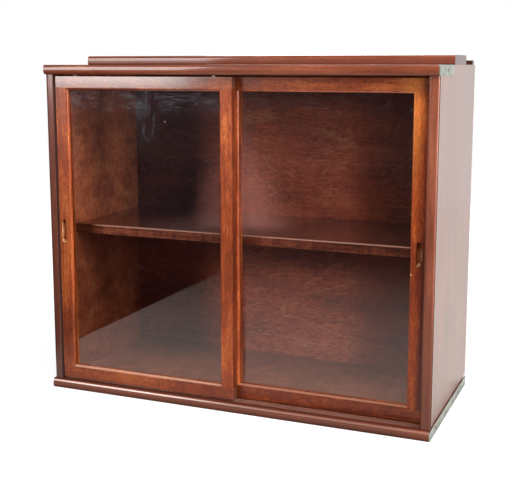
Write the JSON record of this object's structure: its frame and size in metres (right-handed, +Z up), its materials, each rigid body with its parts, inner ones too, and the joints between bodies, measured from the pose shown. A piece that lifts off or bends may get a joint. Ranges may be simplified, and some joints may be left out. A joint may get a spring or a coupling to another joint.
{
  "type": "bookcase with sliding doors",
  "caption": "Low mahogany-stained bookcase section with framed glass doors sliding on two tracks, a loose shelf, a stacking rail on top and zinc coupling metal at its ends.",
  "frame": {"origin": "middle of the base on the surface it stands on", "axes": "+X to the viewer's right along the width, +Y from the doors to the back, +Z up"},
  "size_m": [0.903, 0.3906, 0.7775],
  "materials": {
    "frame_wood": "honey mahogany stain under satin lacquer",
    "moulding_wood": "red-brown mahogany stain under gloss lacquer, worn paler on the edges",
    "side_wood": "mahogany-stained veneer, satin lacquer, faint upright grain outside and mottled figure inside",
    "inside_wood": "dark mahogany-stained veneer, satin lacquer",
    "back_ply": "curly birch-faced ply, dark mahogany stain, satin lacquer",
    "glass": "clear float glass with faint haze",
    "zinc": "dull galvanised sheet",
    "steel": "zinc-plated, dulled",
    "white_nylon": "natural nylon",
    "brown_nylon": "dark brown, polished by sliding"
  },
  "bodies": {
    "case": {"bottom_board": "inside_wood", "top_board": "inside_wood", "left_side_panel": "side_wood", "right_side_panel": "side_wood", "back_panel": "back_ply", "top_front_moulding": "moulding_wood", "bottom_front_moulding": "moulding_wood", "left_front_lipping": "moulding_wood", "right_front_lipping": "moulding_wood", "stacking_rail": "moulding_wood", "rear_locating_strip": "inside_wood", "shelf_board": "inside_wood", "shelf_front_lipping": "moulding_wood", "shelf_pin_front_left": "steel", "shelf_pin_front_right": "steel", "shelf_pin_rear_left": "steel", "shelf_pin_rear_right": "steel", "front_bottom_runner": "brown_nylon", "rear_bottom_runner": "brown_nylon", "left_top_plate": "zinc", "right_top_plate": "zinc", "left_bottom_strip": "zinc", "right_bottom_strip": "zinc", "left_top_plate_screw": "steel", "left_strip_front_screw": "steel", "left_strip_rear_screw": "steel", "right_top_plate_screw": "steel", "right_strip_front_screw": "steel", "right_strip_rear_screw": "steel"},
    "left_door": {"left_door_top_rail": "frame_wood", "left_door_bottom_rail": "frame_wood", "left_door_outer_stile": "frame_wood", "left_door_meeting_stile": "frame_wood", "left_door_glass": "glass", "left_door_top_bead": "frame_wood", "left_door_bottom_bead": "frame_wood", "left_door_outer_bead": "frame_wood", "left_door_meeting_bead": "frame_wood", "left_door_outer_top_guide": "white_nylon", "left_door_meeting_top_guide": "white_nylon", "left_door_outer_bottom_glide": "brown_nylon", "left_door_meeting_bottom_glide": "brown_nylon"},
    "right_door": {"right_door_top_rail": "frame_wood", "right_door_bottom_rail": "frame_wood", "right_door_outer_stile": "frame_wood", "right_door_meeting_stile": "frame_wood", "right_door_glass": "glass", "right_door_top_bead": "frame_wood", "right_door_bottom_bead": "frame_wood", "right_door_outer_bead": "frame_wood", "right_door_meeting_bead": "frame_wood", "right_door_outer_top_guide": "white_nylon", "right_door_meeting_top_guide": "white_nylon", "right_door_outer_bottom_glide": "brown_nylon", "right_door_meeting_bottom_glide": "brown_nylon"}
  },
  "joints": [
    {"name": "left_door_slide", "type": "slide", "parent": "case", "child": "left_door", "axis": [1, 0, 0], "range_m": [0, 0.417]},
    {"name": "right_door_slide", "type": "slide", "parent": "case", "child": "right_door", "axis": [1, 0, 0], "range_m": [-0.413, 0.004]}
  ]
}
